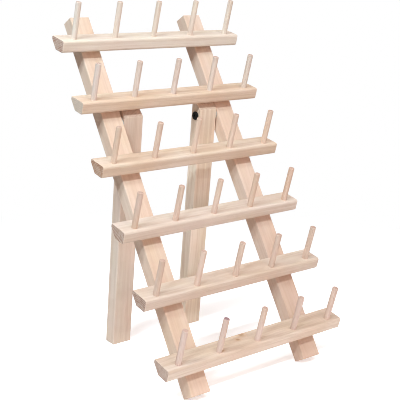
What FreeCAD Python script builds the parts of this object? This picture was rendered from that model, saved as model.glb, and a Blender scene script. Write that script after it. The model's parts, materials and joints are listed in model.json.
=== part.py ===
import FreeCAD, Part
import math
import os

# Spool holder stand: an easel of two leaning front legs that carry six peg bars,
# and two rear legs that swing on bolts just inside the front legs.
# Millimetres. +Z is up, +X runs along the bars to the right, +Y runs to the back.
# The origin is on the floor, in the middle of the stand's overall width and depth.

Vector = FreeCAD.Vector
X_AXIS = Vector(1, 0, 0)
Y_AXIS = Vector(0, 1, 0)
Z_AXIS = Vector(0, 0, 1)

OVERCUT = 1.0              # how far a cutting tool runs past the face it opens
ON_PLANE = 1e-6            # tolerance for picking edges by place

# ---------------------------------------------------------------- driving dimensions
# angles, degrees
LEG_LEAN = 30.0            # front legs lean back from vertical
BAR_TILT = 15.0            # bars roll forward, so the pegs lean forward of vertical
REAR_LEAN = 5.0            # rear legs, foot behind the pivot
MITRE = 45.0               # cut on the top of a rear leg, from its own axis

# peg bars
BAR_LENGTH = 400.0
BAR_DEPTH = 37.0           # across the top face
BAR_HEIGHT = 21.0
BAR_BACK = 6.0             # square part of the back face, above the bevel
BAR_COUNT = 6
BAR_PITCH = 114.0          # bar to bar, along the front legs
BAR_EASE_FRONT = 4.0       # rounding of the long front edges
BAR_EASE_BACK = 1.5        # rounding of the long back edges
BAR_EASE_END = 1.2         # rounding round each end

# pegs
PEG_D = 10.0
PEG_OUT = 64.0             # length standing out of the bar
PEG_IN = 14.0              # depth of the blind hole
PEG_COUNT = 5
PEG_PITCH = 86.4
PEG_SETBACK = 10.75        # peg axis behind the bar's front face
PEG_TIP = 0.8              # chamfer at both ends
PEG_HOLE_D = 9.7           # under the dowel's size, so that its foot is squeezed tight
PEG_GLUE = 0.05            # glue line round the peg's foot, radial
PEG_END_GAP = 0.1          # foot to the bottom of its hole

# legs, all cut from the same stock
LEG_WIDTH = 40.0           # along X
LEG_THICK = 24.0
LEG_EASE = 1.5             # rounding of the long edges
LEG_EASE_END = 1.0         # rounding round a square end
FRONT_LEG_LENGTH = 680.0
FRONT_LEG_BELOW = 48.5     # foot to the lowest bar's front edge, along the leg
FRONT_LEG_X = 1.5 * PEG_PITCH
REAR_LEG_X = PEG_PITCH
MITRE_SPARE = 4.0          # stock above the mitre, cut away with it
MITRE_CHAMFER = 0.6
MITRE_TOOL_REACH = 200.0   # the mitre's cutting tool, from its middle

# pivots
PIVOT_UP = 430.0           # along the front leg from the lowest bar's front edge
PIVOT_DEPTH_FRONT = 12.5   # behind the front leg's front face
PIVOT_DEPTH_REAR = 12.0    # behind the rear leg's front face
STOP_BAR = 4               # bar that stops the rear legs, counted up from 0
STOP_GAP = 0.10            # mitred top of a rear leg to that bar

BOLT_HEAD_D = 15.5
BOLT_HEAD_T = 2.4
BOLT_HEAD_EASE = 1.0
BOLT_SHANK_D = 8.0
BOLT_SHANK_SHORT = 0.2     # shoulder to the front leg's inner face
BOLT_THREAD_D = 6.0
BOLT_THREAD_L = 20.0       # beyond the front leg's inner face
BOLT_THREAD_CHAMFER = 0.8
BOLT_SOCKET = 4.0          # hexagon across flats
BOLT_SOCKET_DEPTH = 3.2
BOLT_RUNNING = 0.075       # radial clearance of the shank in the rear leg
FACE_GAP = 0.10            # head to leg, and leg to washer

WASHER_D = 22.0
WASHER_HOLE_D = 8.4
WASHER_EASE = 0.4

INSERT_D = 10.0
INSERT_L = 22.0
INSERT_FLANGE_D = 13.0
INSERT_FLANGE_T = 1.2
INSERT_BORE_D = BOLT_THREAD_D + 0.1
INSERT_HOLE_D = INSERT_D + 0.1
INSERT_HOLE_L = INSERT_L + 1.5
INSERT_RECESS_D = INSERT_FLANGE_D + 0.2

# screws that hold the bars, driven from behind through the legs
SCREW_D = 4.0
SCREW_L = 35.0
SCREW_HEAD_D = 8.0
SCREW_POINT_L = 5.0
SCREW_POINT_R = 0.2        # radius of the blunt point
SCREW_RECESS = 0.3         # head below the leg's back face
SCREW_CLEAR = 0.05         # radial, round the screw and its head
PILOT_SPARE = 0.6          # pilot hole beyond the screw's point
CROSS_HALF_LENGTH = 2.1    # cross recess in the head
CROSS_HALF_WIDTH = 0.45
CROSS_DEPTH = 1.6
CROSS_OVERCUT = 0.1

# ---------------------------------------------------------------- derived
LEAN_RAD = math.radians(LEG_LEAN)
TILT_RAD = math.radians(BAR_TILT)
REAR_RAD = math.radians(REAR_LEAN)
MITRE_RAD = math.radians(MITRE)
BEVEL = LEG_LEAN + BAR_TILT                     # bevel seats flat on the leaning leg
BEVEL_RAD = math.radians(BEVEL)

# the bevel plane, as a distance from the bar's front top edge square to the leg
SEAT = BAR_DEPTH * math.cos(BEVEL_RAD) + BAR_BACK * math.sin(BEVEL_RAD)
# depth of the bar's bottom face
BAR_BOTTOM = (SEAT - BAR_HEIGHT * math.sin(BEVEL_RAD)) / math.cos(BEVEL_RAD)

# middle of the bevel, in the bar's frame, and its level along the leg
BEVEL_MIDDLE = Vector(0, (BAR_DEPTH + BAR_BOTTOM) / 2.0, -(BAR_BACK + BAR_HEIGHT) / 2.0)
SCREW_LEVEL = (BEVEL_MIDDLE.y * math.sin(BEVEL_RAD)
               + BEVEL_MIDDLE.z * math.cos(BEVEL_RAD))
SCREW_HOLE_D = SCREW_D + 2 * SCREW_CLEAR
PILOT_DEPTH = SCREW_L - (LEG_THICK - SCREW_RECESS) + PILOT_SPARE

# clear space between a rear leg and its front leg
LEG_GAP = (FRONT_LEG_X - LEG_WIDTH / 2.0) - (REAR_LEG_X + LEG_WIDTH / 2.0)

# directions along and across the tilted pieces
LEG_UP = Vector(0, math.sin(LEAN_RAD), math.cos(LEAN_RAD))
LEG_BACK = Vector(0, math.cos(LEAN_RAD), -math.sin(LEAN_RAD))
BAR_BACKWARD = Vector(0, math.cos(TILT_RAD), math.sin(TILT_RAD))
BAR_UP = Vector(0, -math.sin(TILT_RAD), math.cos(TILT_RAD))
REAR_UP = Vector(0, -math.sin(REAR_RAD), math.cos(REAR_RAD))
REAR_BACK = Vector(0, math.cos(REAR_RAD), math.sin(REAR_RAD))


def corner_loss(angle):
    """How far a leg end's rounding falls short of its sharp corner, for a lean in radians."""
    return LEG_EASE_END * (math.sin(angle) + math.cos(angle) - 1.0)


# height of the lowest bar's front top edge: the foot's back corner stands on the floor
BASE_Z = ((SEAT + LEG_THICK) * math.sin(LEAN_RAD) + FRONT_LEG_BELOW * math.cos(LEAN_RAD)
          - corner_loss(LEAN_RAD))

# depth: centred between the lowest pegs' front and the front legs' top back corner,
# both measured from the lowest bar's front top edge
FRONT_LEG_ABOVE = FRONT_LEG_LENGTH - FRONT_LEG_BELOW
FRONT_REACH = ((PEG_SETBACK - PEG_D / 2.0) * math.cos(TILT_RAD)
               - (PEG_OUT - PEG_TIP) * math.sin(TILT_RAD))
BACK_REACH = ((SEAT + LEG_THICK) * math.cos(LEAN_RAD) + FRONT_LEG_ABOVE * math.sin(LEAN_RAD)
              - corner_loss(LEAN_RAD))

BASE = Vector(0, -(FRONT_REACH + BACK_REACH) / 2.0, BASE_Z)  # lowest bar's front top edge
SEAT_BASE = BASE + LEG_BACK * SEAT              # same level, on the legs' front face
PIVOT = SEAT_BASE + LEG_UP * PIVOT_UP + LEG_BACK * PIVOT_DEPTH_FRONT

# rear leg, below the pivot: its front bottom corner stands on the floor
REAR_DOWN = (PIVOT.z - PIVOT_DEPTH_REAR * math.sin(REAR_RAD)
             + corner_loss(REAR_RAD)) / math.cos(REAR_RAD)


def mitre_start():
    """Height above the pivot at which the mitre leaves the rear leg's front face.

    The cut passes just behind the lower back edge of the stop bar. That edge is
    rounded, so the cut is set from the rounding's centre.
    """
    edge = (BASE + LEG_UP * (BAR_PITCH * STOP_BAR)
            + BAR_BACKWARD * BAR_BOTTOM - BAR_UP * BAR_HEIGHT)
    tangent = BAR_EASE_BACK * math.tan(math.radians(90.0 - BEVEL) / 2.0)
    centre = edge - BAR_BACKWARD * tangent + BAR_UP * BAR_EASE_BACK
    from_pivot = centre - PIVOT
    up = from_pivot.dot(REAR_UP)
    behind_face = from_pivot.dot(REAR_BACK) + PIVOT_DEPTH_REAR
    distance = BAR_EASE_BACK + STOP_GAP
    return up - (behind_face + distance / math.cos(MITRE_RAD)) / math.tan(MITRE_RAD)


MITRE_START = mitre_start()
REAR_ABOVE = MITRE_START + LEG_THICK / math.tan(MITRE_RAD)


# ---------------------------------------------------------------- helpers
def place(shape, origin, degrees):
    """Turn a local shape about X by degrees, then put its local origin at origin."""
    placed = shape.copy()
    move = FreeCAD.Placement(origin, FreeCAD.Rotation(X_AXIS, degrees))
    placed.Placement = move.multiply(placed.Placement)
    return placed


def rounded_profile(points, radii, to_3d):
    """Closed wire through 2D points with a rounding at each; to_3d maps (a, b) to 3D."""
    corners = [Vector(a, b, 0) for a, b in points]
    count = len(corners)
    arcs = []
    for i, (corner, radius) in enumerate(zip(corners, radii)):
        to_last = (corners[i - 1] - corner).normalize()
        to_next = (corners[(i + 1) % count] - corner).normalize()
        half_angle = math.acos(to_last.dot(to_next)) / 2.0
        tangent = radius / math.tan(half_angle)
        bisector = (to_last + to_next).normalize()
        arc_points = (corner + to_last * tangent,
                      corner + bisector * (radius / math.sin(half_angle) - radius),
                      corner + to_next * tangent)
        arcs.append([to_3d(p.x, p.y) for p in arc_points])
    edges = []
    for i, (start, middle, end) in enumerate(arcs):
        edges.append(Part.Arc(start, middle, end).toShape())
        edges.append(Part.makeLine(end, arcs[(i + 1) % count][0]))
    return Part.Wire(edges)


def edges_on(shape, test):
    """Edges whose two ends and middle all satisfy test."""
    found = []
    for edge in shape.Edges:
        first, last = edge.FirstParameter, edge.LastParameter
        if all(test(edge.valueAt(t)) for t in (first, last, 0.5 * (first + last))):
            found.append(edge)
    return found


def edges_at_x(shape, x):
    return edges_on(shape, lambda p: abs(p.x - x) < ON_PLANE)


def edges_at_z(shape, z):
    return edges_on(shape, lambda p: abs(p.z - z) < ON_PLANE)


def cylinder(diameter, length, start, direction):
    return Part.makeCylinder(diameter / 2.0, length, start, direction)


def peg_x(j):
    return (j - (PEG_COUNT - 1) / 2.0) * PEG_PITCH


# ---------------------------------------------------------------- bar
def make_bar():
    """Local origin: middle of the front top edge. y runs back across the top, z is up."""
    half_length = BAR_LENGTH / 2.0
    outline = [             # y, z, rounding
        (0, 0, BAR_EASE_FRONT),
        (BAR_DEPTH, 0, BAR_EASE_BACK),
        (BAR_DEPTH, -BAR_BACK, BAR_EASE_BACK),
        (BAR_BOTTOM, -BAR_HEIGHT, BAR_EASE_BACK),
        (0, -BAR_HEIGHT, BAR_EASE_FRONT),
    ]
    wire = rounded_profile([(y, z) for y, z, _ in outline], [ease for _, _, ease in outline],
                           lambda y, z: Vector(-half_length, y, z))
    bar = Part.Face(wire).extrude(Vector(BAR_LENGTH, 0, 0))
    ends = edges_on(bar, lambda p: abs(abs(p.x) - half_length) < ON_PLANE)
    bar = bar.makeFillet(BAR_EASE_END, ends)
    for j in range(PEG_COUNT):
        bottom = Vector(peg_x(j), PEG_SETBACK, -PEG_IN)
        bar = bar.cut(cylinder(PEG_HOLE_D, PEG_IN + OVERCUT, bottom, Z_AXIS))
    # pilot holes for the screws, square to the bevel, opening at its middle
    inward = Vector(0, -math.cos(BEVEL_RAD), math.sin(BEVEL_RAD))
    for side in (-1, 1):
        start = BEVEL_MIDDLE + Vector(side * FRONT_LEG_X, 0, 0) - inward * OVERCUT
        bar = bar.cut(cylinder(SCREW_HOLE_D, PILOT_DEPTH + OVERCUT, start, inward))
    return bar


# ---------------------------------------------------------------- legs
# Each in its own frame: x across the width, y back from the front face, z along the leg.
def make_stock(low, high):
    half_width = LEG_WIDTH / 2.0
    corners = [(-half_width, 0), (half_width, 0),
               (half_width, LEG_THICK), (-half_width, LEG_THICK)]
    wire = rounded_profile(corners, [LEG_EASE] * 4, lambda x, y: Vector(x, y, low))
    return Part.Face(wire).extrude(Vector(0, 0, high - low))


def ease_end(leg, z):
    return leg.makeFillet(LEG_EASE_END, edges_at_z(leg, z))


def cut_screw_hole(leg, z):
    """Through hole, countersunk from the back face."""
    hole_r = SCREW_HOLE_D / 2.0
    head_r = SCREW_HEAD_D / 2.0 + SCREW_CLEAR
    cone_depth = head_r - hole_r
    head_y = LEG_THICK - SCREW_RECESS
    leg = leg.cut(cylinder(SCREW_HOLE_D, LEG_THICK + 2 * OVERCUT,
                           Vector(0, -OVERCUT, z), Y_AXIS))
    leg = leg.cut(Part.makeCone(hole_r, head_r, cone_depth,
                                Vector(0, head_y - cone_depth, z), Y_AXIS))
    return leg.cut(cylinder(2 * head_r, SCREW_RECESS + OVERCUT, Vector(0, head_y, z), Y_AXIS))


def make_front_leg(side):
    """side -1 is left, +1 is right. z = 0 is level with the lowest bar's front edge."""
    leg = make_stock(-FRONT_LEG_BELOW, FRONT_LEG_ABOVE)
    leg = ease_end(leg, -FRONT_LEG_BELOW)
    leg = ease_end(leg, FRONT_LEG_ABOVE)
    for k in range(BAR_COUNT):
        leg = cut_screw_hole(leg, k * BAR_PITCH + SCREW_LEVEL)
    # blind hole for the insert, in the inner face
    start = Vector(-side * LEG_WIDTH / 2.0, PIVOT_DEPTH_FRONT, PIVOT_UP)
    outward = Vector(side, 0, 0)
    leg = leg.cut(cylinder(INSERT_HOLE_D, INSERT_HOLE_L, start, outward))
    return leg.cut(cylinder(INSERT_RECESS_D, INSERT_FLANGE_T, start, outward))


def make_rear_leg():
    """z = 0 and y = PIVOT_DEPTH_REAR are on the pivot's axis."""
    leg = make_stock(-REAR_DOWN, REAR_ABOVE + MITRE_SPARE)
    leg = ease_end(leg, -REAR_DOWN)
    # mitred top: everything in front of and above the slanting cut goes
    reach = MITRE_TOOL_REACH
    along = Vector(0, math.sin(MITRE_RAD), math.cos(MITRE_RAD)) * reach
    normal = Vector(0, -math.cos(MITRE_RAD), math.sin(MITRE_RAD))
    outward = normal * reach
    cut_start = Vector(0, 0, MITRE_START)
    middle = cut_start - Vector(reach, 0, 0)
    lower = middle - along
    upper = middle + along
    outline = Part.makePolygon([lower, upper, upper + outward, lower + outward, lower])
    leg = leg.cut(Part.Face(outline).extrude(Vector(2 * reach, 0, 0)))
    mitre_edges = edges_on(leg, lambda p: abs((p - cut_start).dot(normal)) < 1e-5)
    leg = leg.makeChamfer(MITRE_CHAMFER, mitre_edges)
    start = Vector(-LEG_WIDTH / 2.0 - OVERCUT, PIVOT_DEPTH_REAR, 0)
    return leg.cut(cylinder(BOLT_SHANK_D + 2 * BOLT_RUNNING, LEG_WIDTH + 2 * OVERCUT,
                            start, X_AXIS))


# ---------------------------------------------------------------- pegs and hardware
def make_peg():
    """Local origin where the peg leaves the bar's top face, axis +z."""
    peg = cylinder(PEG_D, PEG_OUT, Vector(0, 0, 0), Z_AXIS)
    peg = peg.makeChamfer(PEG_TIP, edges_at_z(peg, PEG_OUT))
    low = -PEG_IN + PEG_END_GAP
    foot = cylinder(PEG_HOLE_D - 2 * PEG_GLUE, -low, Vector(0, 0, low), Z_AXIS)
    foot = foot.makeChamfer(PEG_TIP, edges_at_z(foot, low))
    return peg.fuse(foot).removeSplitter()


def make_bolt():
    """Head at -x, axis +x, local origin on the inner face of the rear leg."""
    head_x = -FACE_GAP - BOLT_HEAD_T
    face_x = LEG_WIDTH + LEG_GAP                # the front leg's inner face
    shoulder_x = face_x - BOLT_SHANK_SHORT
    head = cylinder(BOLT_HEAD_D, BOLT_HEAD_T, Vector(head_x, 0, 0), X_AXIS)
    head = head.makeFillet(BOLT_HEAD_EASE, edges_at_x(head, head_x))
    shank = cylinder(BOLT_SHANK_D, shoulder_x + FACE_GAP, Vector(-FACE_GAP, 0, 0), X_AXIS)
    thread = cylinder(BOLT_THREAD_D, BOLT_THREAD_L + BOLT_SHANK_SHORT,
                      Vector(shoulder_x, 0, 0), X_AXIS)
    thread = thread.makeChamfer(BOLT_THREAD_CHAMFER, edges_at_x(thread, face_x + BOLT_THREAD_L))
    bolt = head.fuse(shank).fuse(thread)
    corner_r = BOLT_SOCKET / math.sqrt(3.0)
    angles = [math.radians(60 * i) for i in range(7)]
    hexagon = Part.makePolygon([Vector(head_x - OVERCUT, corner_r * math.cos(angle),
                                       corner_r * math.sin(angle)) for angle in angles])
    socket = Part.Face(hexagon).extrude(Vector(BOLT_SOCKET_DEPTH + OVERCUT, 0, 0))
    return bolt.cut(socket).removeSplitter()


def make_washer():
    """Local origin on the front leg's inner face, standing towards -x."""
    thick = LEG_GAP - FACE_GAP
    washer = cylinder(WASHER_D, thick, Vector(-thick, 0, 0), X_AXIS)
    washer = washer.cut(cylinder(WASHER_HOLE_D, thick + 2 * OVERCUT,
                                 Vector(-thick - OVERCUT, 0, 0), X_AXIS))
    rims = [edge for edge in washer.Edges
            if edge.Closed and abs(edge.Length - math.pi * WASHER_D) < 1e-3]
    return washer.makeFillet(WASHER_EASE, rims)


def make_insert():
    """Flanged threaded insert. Local origin on the front leg's inner face, body towards +x."""
    body = cylinder(INSERT_D, INSERT_L, Vector(0, 0, 0), X_AXIS)
    flange = cylinder(INSERT_FLANGE_D, INSERT_FLANGE_T, Vector(0, 0, 0), X_AXIS)
    bore = cylinder(INSERT_BORE_D, INSERT_L + 2 * OVERCUT, Vector(-OVERCUT, 0, 0), X_AXIS)
    return body.fuse(flange).cut(bore).removeSplitter()


def make_screw():
    """Countersunk screw. Local origin at the middle of its flat top, pointing to -y."""
    head_r = SCREW_HEAD_D / 2.0
    body_r = SCREW_D / 2.0
    head_l = head_r - body_r
    body_l = SCREW_L - SCREW_POINT_L - head_l
    forward = Vector(0, -1, 0)
    head = Part.makeCone(head_r, body_r, head_l, Vector(0, 0, 0), forward)
    body = cylinder(SCREW_D, body_l, Vector(0, -head_l, 0), forward)
    point = Part.makeCone(body_r, SCREW_POINT_R, SCREW_POINT_L,
                          Vector(0, SCREW_POINT_L - SCREW_L, 0), forward)
    screw = head.fuse(body).fuse(point)
    for half_x, half_z in ((CROSS_HALF_LENGTH, CROSS_HALF_WIDTH),
                           (CROSS_HALF_WIDTH, CROSS_HALF_LENGTH)):
        slot = Part.makeBox(2 * half_x, CROSS_DEPTH + CROSS_OVERCUT, 2 * half_z,
                            Vector(-half_x, -CROSS_DEPTH, -half_z))
        screw = screw.cut(slot)
    return screw.removeSplitter()


# ---------------------------------------------------------------- assembly
def place_on_pivot(shape, side, x):
    """Put a shape on the pivot's axis, x out from the middle, its +x pointing outward."""
    placed = shape.copy()
    if side < 0:
        placed.rotate(Vector(0, 0, 0), Z_AXIS, 180)
    placed.translate(Vector(side * x, PIVOT.y, PIVOT.z))
    return placed


nodes = {}

# bars and pegs are numbered from the top down, pegs from the left
bar = make_bar()
peg = make_peg()
for k in range(BAR_COUNT):
    number = BAR_COUNT - k
    origin = BASE + LEG_UP * (BAR_PITCH * k)
    nodes["peg_bar_%d" % number] = place(bar, origin, BAR_TILT)
    for j in range(PEG_COUNT):
        peg_origin = origin + Vector(peg_x(j), 0, 0) + BAR_BACKWARD * PEG_SETBACK
        nodes["peg_%d_%d" % (number, j + 1)] = place(peg, peg_origin, BAR_TILT)

bolt = make_bolt()
washer = make_washer()
insert = make_insert()
rear_leg = make_rear_leg()
screw = make_screw()
rear_inner_x = REAR_LEG_X - LEG_WIDTH / 2.0
front_inner_x = FRONT_LEG_X - LEG_WIDTH / 2.0
screws = []
for side, word in ((-1, "left"), (1, "right")):
    front_origin = SEAT_BASE + Vector(side * FRONT_LEG_X, 0, 0)
    rear_origin = PIVOT + Vector(side * REAR_LEG_X, 0, 0) - REAR_BACK * PIVOT_DEPTH_REAR
    nodes["front_leg_" + word] = place(make_front_leg(side), front_origin, -LEG_LEAN)
    nodes["rear_leg_" + word] = place(rear_leg, rear_origin, REAR_LEAN)
    nodes["pivot_bolt_" + word] = place_on_pivot(bolt, side, rear_inner_x)
    nodes["pivot_washer_" + word] = place_on_pivot(washer, side, front_inner_x)
    nodes["pivot_insert_" + word] = place_on_pivot(insert, side, front_inner_x)
    for k in range(BAR_COUNT):
        head_at = (front_origin + LEG_UP * (k * BAR_PITCH + SCREW_LEVEL)
                   + LEG_BACK * (LEG_THICK - SCREW_RECESS))
        screws.append(place(screw, head_at, -LEG_LEAN))
nodes["bar_screws"] = Part.makeCompound(screws)

os.makedirs("parts", exist_ok=True)
for name, shape in nodes.items():
    shape.exportStep("parts/%s.step" % name)
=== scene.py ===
"""Looks for a folding thread stand: six slanted peg bars on two leaning legs, all in raw sanded softwood.

Every visible piece is a CAD node. This script gives each one its own cut of wood or metal, and sets the
floor, the light and the camera.
"""
import json
import math
import random

import bpy
from mathutils import Matrix, Vector


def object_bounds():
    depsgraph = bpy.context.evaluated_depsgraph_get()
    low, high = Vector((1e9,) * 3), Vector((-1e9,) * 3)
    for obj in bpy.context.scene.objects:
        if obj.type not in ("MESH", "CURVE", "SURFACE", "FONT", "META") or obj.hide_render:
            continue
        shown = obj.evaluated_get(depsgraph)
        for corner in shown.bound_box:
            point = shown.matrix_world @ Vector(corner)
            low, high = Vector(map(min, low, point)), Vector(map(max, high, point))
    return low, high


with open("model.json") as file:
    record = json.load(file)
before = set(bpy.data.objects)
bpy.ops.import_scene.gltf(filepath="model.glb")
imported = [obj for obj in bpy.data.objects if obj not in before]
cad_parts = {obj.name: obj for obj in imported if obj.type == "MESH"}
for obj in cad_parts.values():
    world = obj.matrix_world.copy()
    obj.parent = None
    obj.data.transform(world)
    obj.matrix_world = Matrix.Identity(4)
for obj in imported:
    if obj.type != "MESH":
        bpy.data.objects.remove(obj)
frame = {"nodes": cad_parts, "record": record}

CAD_LO, CAD_HI = [v.copy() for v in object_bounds()]
NODES = frame["nodes"]
RECORD = frame["record"]


# ---------------------------------------------------------------- shader helpers
class Tree:
    """A thin wrapper, so that a node network reads as expressions."""

    def __init__(self, tree):
        self.t = tree

    def new(self, kind, **props):
        n = self.t.nodes.new(kind)
        for k, v in props.items():
            setattr(n, k, v)
        return n

    def put(self, socket, value):
        if isinstance(value, bpy.types.NodeSocket):
            self.t.links.new(value, socket)
        elif value is not None:
            socket.default_value = value

    def math(self, op, a, b=None, c=None, clamp=False):
        n = self.new("ShaderNodeMath", operation=op, use_clamp=clamp)
        for s, v in zip(n.inputs, (a, b, c)):
            self.put(s, v)
        return n.outputs[0]

    def vmath(self, op, a, b=None, scale=None):
        n = self.new("ShaderNodeVectorMath", operation=op)
        self.put(n.inputs[0], a)
        if b is not None:
            self.put(n.inputs[1], b)
        if scale is not None:
            self.put(n.inputs["Scale"], scale)
        return n.outputs["Value"] if op in ("DOT_PRODUCT", "LENGTH", "DISTANCE") else n.outputs[0]

    def split(self, v):
        n = self.new("ShaderNodeSeparateXYZ")
        self.put(n.inputs[0], v)
        return n.outputs

    def join(self, x, y, z):
        n = self.new("ShaderNodeCombineXYZ")
        for s, v in zip(n.inputs, (x, y, z)):
            self.put(s, v)
        return n.outputs[0]

    def noise(self, vector, scale=1.0, detail=2.0, rough=0.5, distortion=0.0):
        n = self.new("ShaderNodeTexNoise", noise_dimensions="3D")
        self.put(n.inputs["Vector"], vector)
        self.put(n.inputs["Scale"], scale)
        self.put(n.inputs["Detail"], detail)
        self.put(n.inputs["Roughness"], rough)
        self.put(n.inputs["Distortion"], distortion)
        return n.outputs["Fac"]

    def smooth(self, value, lo, hi, out_lo=0.0, out_hi=1.0):
        n = self.new("ShaderNodeMapRange", interpolation_type="SMOOTHSTEP")
        for s, v in zip(n.inputs, (value, lo, hi, out_lo, out_hi)):
            self.put(s, v)
        return n.outputs[0]

    def mix(self, fac, a, b, blend="MIX"):
        n = self.new("ShaderNodeMix", data_type="RGBA", blend_type=blend)
        n.clamp_factor = True
        ins = [s for s in n.inputs if s.enabled]
        self.put(n.inputs["Factor"] if n.inputs["Factor"].enabled else ins[0], fac)
        colour_in = [s for s in n.inputs if s.type == "RGBA"]
        self.put(colour_in[0], a)
        self.put(colour_in[1], b)
        return [s for s in n.outputs if s.type == "RGBA"][0]


def rgb(r, g, b):
    """Linear colour with alpha."""
    return (r, g, b, 1.0)


# ---------------------------------------------------------------- raw sanded wood
def wood_group():
    g = bpy.data.node_groups.new("raw_wood", "ShaderNodeTree")
    face = g.interface
    for name, kind in (
        ("Turn", "NodeSocketFloat"),      # about X, brings a leaning piece upright
        ("Swap", "NodeSocketFloat"),      # 0 grain along X, 1 grain along Z
        ("Offset", "NodeSocketVector"),   # where in the plank this piece was cut, mm
        ("Pith", "NodeSocketVector"),     # the tree's centre line from the piece's own, mm (x unused)
        ("Early", "NodeSocketColor"),
        ("Late", "NodeSocketColor"),
        ("Warm", "NodeSocketColor"),
        ("Ring", "NodeSocketFloat"),      # mm between growth rings
        ("Figure", "NodeSocketFloat"),    # contrast of the grain
        ("Knots", "NodeSocketFloat"),     # 1 draws the three knots below
        ("Knot 1", "NodeSocketVector"),   # along the grain, across, and radius, mm
        ("Knot 2", "NodeSocketVector"),
        ("Knot 3", "NodeSocketVector"),
        ("End", "NodeSocketColor"),       # what the sawn ends soak up to
        ("Falloff Shade", "NodeSocketFloat"),      # painted shade: how far the wood darkens down towards the floor, where the light falls off
        ("Bump", "NodeSocketFloat"),
    ):
        face.new_socket(name, in_out="INPUT", socket_type=kind)
    for name, kind in (("Color", "NodeSocketColor"), ("Roughness", "NodeSocketFloat"), ("Normal", "NodeSocketVector")):
        face.new_socket(name, in_out="OUTPUT", socket_type=kind)
    T = Tree(g)
    I = T.new("NodeGroupInput").outputs
    out = T.new("NodeGroupOutput")

    tc = T.new("ShaderNodeTexCoord")

    def local(vector):
        rot = T.new("ShaderNodeVectorRotate", rotation_type="X_AXIS")
        T.put(rot.inputs["Vector"], vector)
        T.put(rot.inputs["Angle"], I["Turn"])
        x, y, z = T.split(rot.outputs[0])
        keep = T.math("SUBTRACT", 1.0, I["Swap"])
        gx = T.math("ADD", T.math("MULTIPLY", x, keep), T.math("MULTIPLY", z, I["Swap"]))
        gz = T.math("ADD", T.math("MULTIPLY", z, keep), T.math("MULTIPLY", x, I["Swap"]))
        return T.join(gx, y, gz)

    mm = T.vmath("SCALE", local(tc.outputs["Object"]), scale=1000.0)
    cut = T.vmath("ADD", mm, I["Offset"])           # only the noise sees the offset
    n_loc = local(tc.outputs["Normal"])
    nx, ny, nz = T.split(n_loc)

    # slow drift of the fibres across the piece
    cx, cy, cz = T.split(cut)
    slow = T.join(T.math("MULTIPLY", cx, 0.0042), T.math("MULTIPLY", cy, 0.012), T.math("MULTIPLY", cz, 0.012))
    drift = T.math("SUBTRACT", T.noise(slow, 1.0, 2.0, 0.5), 0.5)
    wob = T.join(T.math("MULTIPLY", cx, 0.016), T.math("MULTIPLY", cy, 0.05), T.math("MULTIPLY", cz, 0.05))
    wobble = T.math("SUBTRACT", T.noise(wob, 1.0, 2.0, 0.55), 0.5)

    # knots: small pins that run straight down through the top face, with the rings flowing past
    mx, my, mz = T.split(mm)
    k_near = k_core = None
    for label in ("Knot 1", "Knot 2", "Knot 3"):
        kx, ky, kr = T.split(I[label])
        dx = T.math("MULTIPLY", T.math("SUBTRACT", mx, kx), 0.62)
        dy = T.math("SUBTRACT", my, ky)
        away = T.math("SQRT", T.math("ADD", T.math("MULTIPLY", dx, dx), T.math("MULTIPLY", dy, dy)))
        away = T.math("ADD", away, T.math("MULTIPLY", wobble, 1.6))
        ratio = T.math("DIVIDE", away, T.math("MAXIMUM", kr, 0.01))
        near = T.smooth(ratio, 3.6, 0.6)
        core = T.smooth(ratio, 1.7, 0.5)
        k_near = near if k_near is None else T.math("MAXIMUM", k_near, near)
        k_core = core if k_core is None else T.math("MAXIMUM", k_core, core)
    k_near = T.math("MULTIPLY", k_near, I["Knots"])
    k_core = T.math("MULTIPLY", k_core, I["Knots"])

    # growth rings around the pith
    px, py, pz = T.split(I["Pith"])
    ry = T.math("SUBTRACT", my, py)
    rz = T.math("SUBTRACT", mz, pz)
    rad = T.math("SQRT", T.math("ADD", T.math("MULTIPLY", ry, ry), T.math("MULTIPLY", rz, rz)))
    rad = T.math("ADD", rad, T.math("MULTIPLY", drift, 26.0))
    rad = T.math("ADD", rad, T.math("MULTIPLY", wobble, 3.2))
    rad = T.math("ADD", rad, T.math("MULTIPLY", k_near, 5.0))
    ringv = T.math("DIVIDE", rad, I["Ring"])
    # uneven ring widths
    uneven = T.noise(T.join(T.math("MULTIPLY", ringv, 0.37), 3.1, 7.7), 1.0, 1.0, 0.5)
    ringv = T.math("ADD", ringv, T.math("MULTIPLY", uneven, 1.6))
    saw = T.math("FRACT", ringv)
    late = T.math("MULTIPLY", T.math("POWER", saw, 2.6), T.smooth(saw, 1.0, 0.90))
    idx = T.math("FLOOR", ringv)
    strength = T.noise(T.join(T.math("MULTIPLY", idx, 0.73), 1.3, 9.1), 1.0, 0.0, 0.5)
    late = T.math("MULTIPLY", late, T.smooth(strength, 0.3, 0.7, 0.45, 1.25))

    # fibres at three widths
    def streak(along, across, detail=3.0, rough=0.6):
        return T.noise(T.join(T.math("MULTIPLY", cx, along), T.math("MULTIPLY", T.math("ADD", cy, T.math("MULTIPLY", drift, 8.0)), across), T.math("MULTIPLY", T.math("ADD", cz, T.math("MULTIPLY", drift, 8.0)), across)), 1.0, detail, rough)

    broad = streak(0.0045, 0.16, 2.0, 0.5)
    mid = streak(0.012, 0.55, 3.0, 0.6)
    fine = streak(0.05, 2.6, 3.0, 0.65)
    pores = T.smooth(streak(0.11, 4.2, 1.0, 0.5), 0.64, 0.74)
    blotch = T.noise(T.join(T.math("MULTIPLY", cx, 0.009), T.math("MULTIPLY", cy, 0.022), T.math("MULTIPLY", cz, 0.022)), 1.0, 2.0, 0.5)

    end = T.smooth(T.math("ABSOLUTE", nx), 0.55, 0.92)

    # colour
    fig = I["Figure"]
    base = T.mix(T.smooth(blotch, 0.32, 0.70), I["Early"], I["Warm"])
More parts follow.
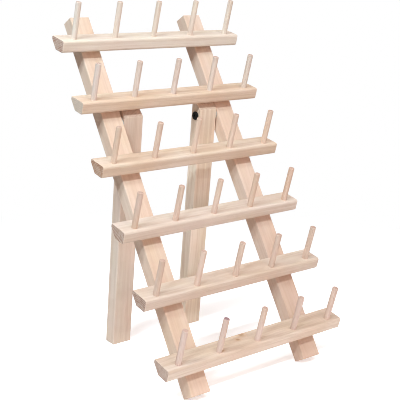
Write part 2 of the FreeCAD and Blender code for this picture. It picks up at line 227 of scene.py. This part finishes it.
    # sapwood and heartwood drift between straw and flesh
    hue = T.noise(T.join(T.math("MULTIPLY", cx, 0.013), T.math("MULTIPLY", cy, 0.035), T.math("MULTIPLY", cz, 0.035)), 1.0, 2.0, 0.5)
    base = T.mix(T.math("MULTIPLY", T.smooth(hue, 0.35, 0.68), 0.55), base, T.mix(1.0, base, rgb(1.0, 0.945, 0.965), "MULTIPLY"))
    base = T.mix(T.math("MULTIPLY", T.smooth(hue, 0.48, 0.26), 0.5), base, T.mix(1.0, base, rgb(0.985, 0.985, 0.90), "MULTIPLY"))
    tone = T.math("ADD", T.math("MULTIPLY", late, 0.42), T.math("MULTIPLY", T.smooth(broad, 0.38, 0.68), 0.62))
    tone = T.math("ADD", tone, T.math("MULTIPLY", T.smooth(mid, 0.42, 0.75), 0.28))
    tone = T.math("ADD", tone, T.math("MULTIPLY", T.smooth(fine, 0.5, 0.8), 0.13))
    tone = T.math("MULTIPLY", tone, fig)
    col = T.mix(tone, base, I["Late"])
    col = T.mix(T.math("MULTIPLY", pores, T.math("MULTIPLY", fig, 0.22)), col, rgb(0.36, 0.20, 0.11))
    # heart of a knot, and the darker wood round it
    col = T.mix(T.math("MULTIPLY", k_near, 0.42), col, rgb(0.60, 0.35, 0.18))
    col = T.mix(T.math("MULTIPLY", k_core, 0.55), col, rgb(0.36, 0.19, 0.10))
    # end grain drinks the light: darker, and its rings show
    end_speck = T.noise(cut, 1.7, 3.0, 0.7)
    end_broad = T.noise(cut, 0.16, 2.0, 0.5)
    end_tone = T.math("ADD", 0.42, T.math("MULTIPLY", late, 0.62))
    end_tone = T.math("ADD", end_tone, T.math("MULTIPLY", T.smooth(end_speck, 0.4, 0.7), 0.26))
    end_tone = T.math("ADD", end_tone, T.math("MULTIPLY", T.smooth(end_broad, 0.38, 0.66), 0.22))
    end_col = T.mix(end_tone, T.mix(0.35, I["Early"], I["Warm"]), I["End"])
    col = T.mix(end, col, end_col)

    # sanded edges: fibres broken over the arris, a little rougher; the paler colour along every arris is partly the
    # sanded wood and partly a painted highlight
    bev = T.new("ShaderNodeBevel", samples=6)
    bev.inputs["Radius"].default_value = 0.0016
    geo = T.new("ShaderNodeNewGeometry")
    turn = T.math("SUBTRACT", 1.0, T.vmath("DOT_PRODUCT", bev.outputs[0], geo.outputs["Normal"]))
    edge = T.smooth(turn, 0.012, 0.13)
    edge = T.math("MULTIPLY", edge, T.smooth(T.noise(cut, 0.21, 3.0, 0.6), 0.36, 0.62))
    col = T.mix(T.math("MULTIPLY", edge, 0.12), col, T.mix(1.0, col, rgb(1.10, 1.10, 1.10), "MULTIPLY"))
    # handling: faint grey-brown bloom that sits where fingers go
    hand = T.noise(cut, 0.035, 3.0, 0.6)
    col = T.mix(T.math("MULTIPLY", T.smooth(hand, 0.55, 0.8), 0.10), col, rgb(0.50, 0.36, 0.27))

    # painted shade: low on a leg the wood is darkened and reddened towards the floor, standing in for light that falls
    # off down there
    _, _, up_mm = T.split(T.vmath("SCALE", tc.outputs["Object"], scale=1000.0))
    low = T.smooth(T.math("ADD", up_mm, T.math("MULTIPLY", T.math("SUBTRACT", hand, 0.5), 120.0)), 360.0, 40.0)
    col = T.mix(T.math("MULTIPLY", low, I["Falloff Shade"]), col, T.mix(1.0, col, rgb(0.62, 0.52, 0.49), "MULTIPLY"))

    # relief: hard late wood stands proud, fibres lie as fine ridges, the saw leaves a faint chatter
    h = T.math("MULTIPLY", late, 0.9)
    h = T.math("ADD", h, T.math("MULTIPLY", mid, 0.8))
    h = T.math("ADD", h, T.math("MULTIPLY", fine, 0.9))
    h = T.math("SUBTRACT", h, T.math("MULTIPLY", pores, 0.7))
    h = T.math("SUBTRACT", h, T.math("MULTIPLY", k_core, 1.5))
    chatter = T.math("SINE", T.math("ADD", T.math("MULTIPLY", cx, 1.25), T.math("MULTIPLY", drift, 9.0)))
    h = T.math("ADD", h, T.math("MULTIPLY", chatter, T.math("MULTIPLY", T.smooth(hand, 0.4, 0.7), 0.10)))
    h = T.math("ADD", h, T.math("MULTIPLY", T.math("MULTIPLY", end, end_speck), 1.4))
    bump = T.new("ShaderNodeBump")
    T.put(bump.inputs["Strength"], I["Bump"])
    bump.inputs["Distance"].default_value = 0.00022
    T.put(bump.inputs["Height"], h)

    rough = T.math("ADD", 0.60, T.math("MULTIPLY", mid, 0.16))
    rough = T.math("ADD", rough, T.math("MULTIPLY", end, 0.14))
    rough = T.math("ADD", rough, T.math("MULTIPLY", edge, 0.08))
    rough = T.math("SUBTRACT", rough, T.math("MULTIPLY", late, 0.10))

    T.put(out.inputs["Color"], col)
    T.put(out.inputs["Roughness"], rough)
    T.put(out.inputs["Normal"], bump.outputs[0])
    return g


WOOD = wood_group()


def wood(name, slot, turn, swap, seed, ring=3.0, figure=1.0, knots=(), bump=0.55, tint=(1.0, 1.0, 1.0), warm=0.5, end=(0.47, 0.30, 0.215), falloff_shade=0.0):
    """One piece's own cut. seed fixes its place in the plank, so each piece differs and every run agrees."""
    rnd = random.Random(seed)
    m = bpy.data.materials.new(name)
    m.use_nodes = True
    t = m.node_tree
    t.nodes.clear()
    grp = t.nodes.new("ShaderNodeGroup")
    grp.node_tree = WOOD
    bsdf = t.nodes.new("ShaderNodeBsdfPrincipled")
    bsdf.inputs["IOR"].default_value = 1.45
    bsdf.inputs["Specular IOR Level"].default_value = 0.32
    t.links.new(grp.outputs["Color"], bsdf.inputs["Base Color"])
    t.links.new(grp.outputs["Roughness"], bsdf.inputs["Roughness"])
    t.links.new(grp.outputs["Normal"], bsdf.inputs["Normal"])
    out = t.nodes.new("ShaderNodeOutputMaterial")
    t.links.new(bsdf.outputs[0], out.inputs["Surface"])
    i = grp.inputs
    i["Turn"].default_value = turn
    i["Swap"].default_value = swap
    i["Offset"].default_value = (rnd.uniform(-4000, 4000), rnd.uniform(-4000, 4000), rnd.uniform(-4000, 4000))
    i["Pith"].default_value = (0.0, rnd.uniform(-90, 90), rnd.uniform(-90, 90))
    v = rnd.uniform(0.965, 1.02)
    early, late, hot = (0.850, 0.705, 0.590), (0.670, 0.480, 0.355), (0.815, 0.635, 0.500)
    hot = tuple(e + (h - e) * 2 * warm for e, h in zip(early, hot))
    i["Early"].default_value = rgb(*(min(0.95, c * v * k) for c, k in zip(early, tint)))
    i["Late"].default_value = rgb(*(min(0.95, c * v * k) for c, k in zip(late, tint)))
    i["Warm"].default_value = rgb(*(min(0.95, c * v * k) for c, k in zip(hot, tint)))
    i["Ring"].default_value = ring * rnd.uniform(0.85, 1.2)
    i["Figure"].default_value = figure
    i["Knots"].default_value = 1.0 if knots else 0.0
    for label, knot in zip(("Knot 1", "Knot 2", "Knot 3"), knots):
        i[label].default_value = knot
    i["End"].default_value = rgb(*end)
    i["Falloff Shade"].default_value = falloff_shade
    i["Bump"].default_value = bump
    return m


# ---------------------------------------------------------------- metal
def metal(name, base, dark, rough, metallic, wear, scale=900.0, bump=0.25):
    m = bpy.data.materials.new(name)
    m.use_nodes = True
    t = m.node_tree
    t.nodes.clear()
    T = Tree(t)
    tc = T.new("ShaderNodeTexCoord")
    n1 = T.noise(tc.outputs["Object"], scale * 0.25, 4.0, 0.6)
    n2 = T.noise(tc.outputs["Object"], scale * 2.2, 3.0, 0.6)
    bev = T.new("ShaderNodeBevel", samples=4)
    bev.inputs["Radius"].default_value = 0.0006
    geo = T.new("ShaderNodeNewGeometry")
    turn = T.math("SUBTRACT", 1.0, T.vmath("DOT_PRODUCT", bev.outputs[0], geo.outputs["Normal"]))
    edge = T.math("MULTIPLY", T.smooth(turn, 0.02, 0.15), T.smooth(n1, 0.35, 0.65))
    col = T.mix(T.smooth(n1, 0.35, 0.7), base, dark)
    col = T.mix(T.math("MULTIPLY", edge, 0.6), col, wear)
    bsdf = T.new("ShaderNodeBsdfPrincipled")
    T.put(bsdf.inputs["Base Color"], col)
    bsdf.inputs["Metallic"].default_value = metallic
    r = T.math("ADD", rough, T.math("MULTIPLY", T.math("SUBTRACT", n2, 0.5), 0.22))
    r = T.math("SUBTRACT", r, T.math("MULTIPLY", edge, 0.12))
    T.put(bsdf.inputs["Roughness"], r)
    b = T.new("ShaderNodeBump")
    b.inputs["Strength"].default_value = bump
    b.inputs["Distance"].default_value = 0.00005
    T.put(b.inputs["Height"], n2)
    T.put(bsdf.inputs["Normal"], b.outputs[0])
    out = T.new("ShaderNodeOutputMaterial")
    T.put(out.inputs["Surface"], bsdf.outputs[0])
    return m


def dress(node, material):
    """Every slot of a CAD node takes this material."""
    o = NODES[node]
    if not o.material_slots:
        o.data.materials.append(None)
    for s in o.material_slots:
        s.link = "OBJECT"
        s.material = material


LEAN = math.radians(30)        # front legs, back at the top
REAR = math.radians(5)         # rear legs, forward at the top
TILT = math.radians(15)        # bars and pegs

# How each plank differs from the common wood colours: red, green, blue. The pegs of a row share one dowel's. Partly
# painted light: the values run paler on the upper bars and pegs and darker on the lower ones, standing in for light
# that is stronger high up.
TINT = {
    "peg_bar_1": (1.05, 1.13, 1.16),
    "peg_bar_2": (1.0, 0.98, 0.93),
    "peg_bar_3": (1.0, 1.01, 0.98),
    "peg_bar_4": (0.95, 0.97, 0.98),
    "peg_bar_5": (0.92, 0.92, 0.91),
    "peg_bar_6": (0.87, 0.87, 0.86),
    "pegs_1": (1.07, 1.14, 1.17),
    "pegs_2": (0.96, 0.99, 1.03),
    "pegs_3": (0.96, 0.91, 0.87),
    "pegs_4": (0.91, 0.85, 0.83),
    "pegs_5": (0.89, 0.84, 0.82),
    "pegs_6": (0.84, 0.79, 0.81),
    "front_leg_left": (0.95, 0.91, 0.87),
    "front_leg_right": (0.97, 0.94, 0.92),
    "rear_leg_left": (0.91, 0.9, 0.89),
    "rear_leg_right": (1.07, 1.11, 1.09),
}

# bars: grain along X. Turn brings the tilted section square.
BAR_LOOK = {
    1: dict(seed=11, ring=4.2, figure=0.55, warm=0.25, end=(0.47, 0.255, 0.18)),
    2: dict(seed=12, ring=3.1, figure=0.85, warm=0.7, end=(0.64, 0.51, 0.41)),
    3: dict(seed=13, ring=2.8, figure=0.85, warm=0.8, end=(0.385, 0.175, 0.095)),
    4: dict(seed=14, ring=3.6, figure=0.62, warm=0.35, end=(0.405, 0.235, 0.165)),
    5: dict(seed=15, ring=3.4, figure=0.70, warm=0.45, end=(0.35, 0.20, 0.145)),
    6: dict(seed=16, ring=3.0, figure=0.85, warm=0.6, end=(0.39, 0.25, 0.195),
            knots=((-16.5, -118.5, 3.0), (-32.1, -127.6, 2.0), (-79.2, -142.0, 1.6))),
}
for n, look in BAR_LOOK.items():
    name = f"peg_bar_{n}"
    dress(name, wood(f"bar_wood_{n}", "bar_wood", -TILT, 0.0, tint=TINT[name], **look))

# legs: grain along the leg
LEG_LOOK = {
    "front_leg_left": (LEAN, dict(seed=21, ring=3.4, figure=0.45, warm=0.5, falloff_shade=0.33)),
    "front_leg_right": (LEAN, dict(seed=22, ring=3.1, figure=0.50, warm=0.55, falloff_shade=0.55)),
    "rear_leg_left": (-REAR, dict(seed=23, ring=3.0, figure=0.55, warm=0.35)),
    "rear_leg_right": (-REAR, dict(seed=24, ring=2.7, figure=0.85, warm=0.5)),
}
for name, (turn, look) in LEG_LOOK.items():
    dress(name, wood(name.replace("leg", "leg_wood"), "leg_wood", turn, 1.0, tint=TINT[name], **look))

# pegs: turned dowel, grain along the peg. One of them carries a stained end.
for n in range(1, 7):
    for j in range(1, 6):
        r = random.Random(1000 + 10 * n + j)
        name = f"peg_{n}_{j}"
        k = r.uniform(0.965, 1.01)
        tint = tuple(k * t for t in TINT[f"pegs_{n}"])
        end = (0.23, 0.10, 0.13) if (n, j) == (6, 2) else (0.52, 0.32, 0.25)
        dress(name, wood(f"peg_wood_{n}_{j}", "peg_wood", -TILT, 1.0, 300 + 10 * n + j, ring=r.uniform(1.6, 2.6), figure=r.uniform(0.40, 0.75), bump=0.35, tint=tint, warm=r.uniform(0.2, 0.8), end=end))

BLACK = metal("bolt_black_oxide", rgb(0.010, 0.010, 0.011), rgb(0.020, 0.019, 0.018), 0.42, 0.55, rgb(0.10, 0.095, 0.09))
ZINC = metal("washer_zinc", rgb(0.62, 0.62, 0.60), rgb(0.48, 0.48, 0.47), 0.36, 1.0, rgb(0.80, 0.80, 0.79))
BRASS = metal("insert_brass", rgb(0.72, 0.53, 0.24), rgb(0.58, 0.40, 0.17), 0.34, 1.0, rgb(0.85, 0.68, 0.36))
SCREW = metal("screw_yellow_zinc", rgb(0.66, 0.58, 0.36), rgb(0.52, 0.45, 0.28), 0.38, 1.0, rgb(0.80, 0.75, 0.60))
for side in ("left", "right"):
    dress(f"pivot_bolt_{side}", BLACK)
    dress(f"pivot_washer_{side}", ZINC)
    dress(f"pivot_insert_{side}", BRASS)
dress("bar_screws", SCREW)


# ---------------------------------------------------------------- floor, light, camera
lo, hi = CAD_LO, CAD_HI
centre = (lo + hi) / 2


def floor():
    """A wide pale sheet under the feet. Seen from the camera it brightens into the white studio round it."""
    me = bpy.data.meshes.new("floor")
    half = 40.0
    z = lo.z - 0.0002
    me.from_pydata([(-half, -half, z), (half, -half, z), (half, half, z), (-half, half, z)], [], [(0, 1, 2, 3)])
    o = bpy.data.objects.new("floor", me)
    bpy.context.scene.collection.objects.link(o)
    m = bpy.data.materials.new("floor_paper")
    m.use_nodes = True
    m.node_tree.nodes.clear()
    T = Tree(m.node_tree)
    paper = T.new("ShaderNodeBsdfDiffuse")
    tc = T.new("ShaderNodeTexCoord")
    tooth = T.noise(tc.outputs["Object"], 18.0, 4.0, 0.6)
    geo = T.new("ShaderNodeNewGeometry")
    x, y, _ = T.split(geo.outputs["Position"])
    r = T.math("SQRT", T.math("ADD", T.math("MULTIPLY", x, x), T.math("MULTIPLY", y, y)))
    sheet = T.mix(tooth, rgb(0.860, 0.865, 0.868), rgb(0.880, 0.885, 0.888))
    # only the sheet of paper round the feet throws light back up; the room beyond it is dim
    T.put(paper.inputs["Color"], T.mix(T.smooth(r, 0.45, 1.0), sheet, rgb(0.10, 0.10, 0.10)))
    # light that bounces about between the sheet and the low bars
    glow = T.new("ShaderNodeEmission")
    T.put(glow.inputs["Color"], rgb(0.97, 1.0, 1.0))
    gx, gy = T.math("SUBTRACT", x, 0.05), T.math("SUBTRACT", y, -0.42)
    g = T.math("SQRT", T.math("ADD", T.math("MULTIPLY", gx, gx), T.math("MULTIPLY", gy, gy)))
    T.put(glow.inputs["Strength"], T.smooth(g, 0.12, 0.55, FLOOR_GLOW, 0.0))
    lit_paper = T.new("ShaderNodeAddShader")
    T.put(lit_paper.inputs[0], paper.outputs[0])
    T.put(lit_paper.inputs[1], glow.outputs[0])
    seen_paper = T.new("ShaderNodeBsdfDiffuse")
    T.put(seen_paper.inputs["Color"], sheet)
    lift = T.new("ShaderNodeEmission")
    lift.inputs["Color"].default_value = rgb(1, 1, 1)
    lift.inputs["Strength"].default_value = FLOOR_LIFT
    near = T.new("ShaderNodeAddShader")
    T.put(near.inputs[0], seen_paper.outputs[0])
    T.put(near.inputs[1], lift.outputs[0])
    white = T.new("ShaderNodeEmission")
    white.inputs["Color"].default_value = rgb(1, 1, 1)
    white.inputs["Strength"].default_value = 1.0
    fade = T.new("ShaderNodeMixShader")
    T.put(fade.inputs[0], T.smooth(r, 0.25, 1.1))
    T.put(fade.inputs[1], near.outputs[0])
    T.put(fade.inputs[2], white.outputs[0])
    path = T.new("ShaderNodeLightPath")
    seen = T.new("ShaderNodeMixShader")
    T.put(seen.inputs[0], path.outputs["Is Camera Ray"])
    T.put(seen.inputs[1], lit_paper.outputs[0])
    T.put(seen.inputs[2], fade.outputs[0])
    out = T.new("ShaderNodeOutputMaterial")
    T.put(out.inputs["Surface"], seen.outputs[0])
    me.materials.append(m)
    return o


FLOOR_LIFT = 0.50
FLOOR_GLOW = 0.38
floor()


def bank(name, x, y, z, length, height, share, colour=(1.0, 1.0, 1.0)):
    """A long softbox that runs level with the bars. share is what it adds to a white card facing it at the stand."""
    at = Vector((x, y, z))
    away = at - centre
    out = Vector((0.0, away.y, away.z)).normalized()
    along = Vector((1.0, 0.0, 0.0))
    over = out.cross(along)
    d = bpy.data.lights.new(name, "AREA")
    d.shape = "RECTANGLE"
    d.size, d.size_y = length, height
    d.energy = math.pi ** 2 * share * away.length_squared / away.normalized().dot(out)
    d.color = colour
    o = bpy.data.objects.new(name, d)
    bpy.context.scene.collection.objects.link(o)
    o.matrix_world = Matrix([[along[k], over[k], out[k], at[k]] for k in range(3)] + [[0, 0, 0, 1]])
    o.visible_camera = False
    return o


def lamp(name, azimuth, elevation, share, away=3.2, size=0.55, colour=(1.0, 1.0, 1.0)):
    """A round softbox aimed at the stand. Azimuth 0 is the front and positive goes to the left."""
    a, e = math.radians(azimuth), math.radians(elevation)
    toward = Vector((-math.sin(a) * math.cos(e), -math.cos(a) * math.cos(e), math.sin(e)))
    d = bpy.data.lights.new(name, "AREA")
    d.shape = "DISK"
    d.size = size
    d.energy = math.pi ** 2 * share * away ** 2
    d.color = colour
    o = bpy.data.objects.new(name, d)
    bpy.context.scene.collection.objects.link(o)
    o.location = centre + toward * away
    o.rotation_euler = (-toward).to_track_quat("-Z", "Y").to_euler()
    o.visible_camera = False
    return o


# a narrow bank level with the bars draws the crisp band of shade under each one; a deeper bank high on the
# left softens it and lights the tops; weak fills reach in low from the front and the right
bank("front_bank", -0.11, -1.60, 2.50, 2.4, 0.066, 0.41, (0.83, 0.96, 1.0))
bank("left_bank", -2.93, -1.60, 2.50, 1.58, 0.066, 0.32, (0.70, 0.88, 1.0))
bank("high_left_bank", -1.62, -0.48, 1.776, 0.96, 0.24, 0.40, (0.74, 0.91, 1.0))
bank("high_bank", 0.0, -0.48, 1.776, 0.84, 0.24, 0.06)
lamp("fill_right", -60, 15, 0.12, size=1.3)
lamp("fill_back", 180, 32, 0.18, size=1.6, colour=(0.93, 0.97, 1.0))
lamp("fill_front", 0, 10, 0.18, size=1.3, colour=(1.0, 0.70, 0.66))

world = bpy.data.worlds.new("studio")
bpy.context.scene.world = world
world.use_nodes = True
W = Tree(world.node_tree)
world.node_tree.nodes.clear()
ambient = W.new("ShaderNodeBackground")
ambient.inputs["Strength"].default_value = 0.31
sky = W.new("ShaderNodeBackground")
sky.inputs["Strength"].default_value = 1.0
ambient.inputs["Color"].default_value = rgb(1.0, 0.75, 0.67)
sky.inputs["Color"].default_value = rgb(1, 1, 1)
path = W.new("ShaderNodeLightPath")
pick = W.new("ShaderNodeMixShader")
W.put(pick.inputs[0], W.math("MAXIMUM", path.outputs["Is Camera Ray"], W.math("MULTIPLY", path.outputs["Is Glossy Ray"], 0.75)))
W.put(pick.inputs[1], ambient.outputs[0])
W.put(pick.inputs[2], sky.outputs[0])
wout = W.new("ShaderNodeOutputWorld")
W.put(wout.inputs[0], pick.outputs[0])

# The view: from the front left, a little above, through a shifted lens.
CAM_AT = Vector((-1.000578, -1.143958, 0.628651))
YAW, PITCH, ROLL = math.radians(35.141), math.radians(12.987), math.radians(-0.382)
LENS, SHIFT_X, SHIFT_Y = 78.485, 0.23876, 0.00451
fwd = Vector((math.sin(YAW) * math.cos(PITCH), math.cos(YAW) * math.cos(PITCH), -math.sin(PITCH)))
right = Vector((math.cos(YAW), -math.sin(YAW), 0.0))
up = right.cross(fwd)
r2 = math.cos(ROLL) * right + math.sin(ROLL) * up
u2 = -math.sin(ROLL) * right + math.cos(ROLL) * up
cam_data = bpy.data.cameras.new("camera")
cam_data.sensor_width = 36.0
cam_data.lens = LENS
cam_data.clip_start, cam_data.clip_end = 0.05, 60.0
cam = bpy.data.objects.new("camera", cam_data)
bpy.context.scene.collection.objects.link(cam)
cam.matrix_world = Matrix(
    [[r2[k], u2[k], -fwd[k], CAM_AT[k]] for k in range(3)] + [[0, 0, 0, 1]]
)
bpy.context.scene.camera = cam

# The lens shift belongs to this one standpoint: it goes back to zero once the camera stands anywhere else,
# so that other views stay centred.
stand = bpy.data.objects.new("standpoint", None)
stand.location = CAM_AT
bpy.context.scene.collection.objects.link(stand)
for prop, value in (("shift_x", SHIFT_X), ("shift_y", SHIFT_Y)):
    curve = cam_data.driver_add(prop)
    curve.driver.type = "SUM"
    var = curve.driver.variables.new()
    var.type = "LOC_DIFF"
    var.targets[0].id = cam
    var.targets[1].id = stand
    for mod in list(curve.modifiers):
        curve.modifiers.remove(mod)
    while curve.keyframe_points:
        curve.keyframe_points.remove(curve.keyframe_points[0])
    for x, y in ((-1.0, value), (0.005, value), (0.02, 0.0), (100.0, 0.0)):
        k = curve.keyframe_points.insert(x, y)
        k.interpolation = "LINEAR"
    curve.extrapolation = "CONSTANT"

view = bpy.context.scene.view_settings
view.view_transform = "Standard"
view.look = "None"
view.exposure = 0.0
view.gamma = 1.0
bpy.context.scene.cycles.use_denoising = True
bpy.context.scene.cycles.max_bounces = 10
bpy.context.scene.cycles.diffuse_bounces = 6
bpy.context.scene.cycles.filter_width = 1.0

bpy.context.view_layer.update()
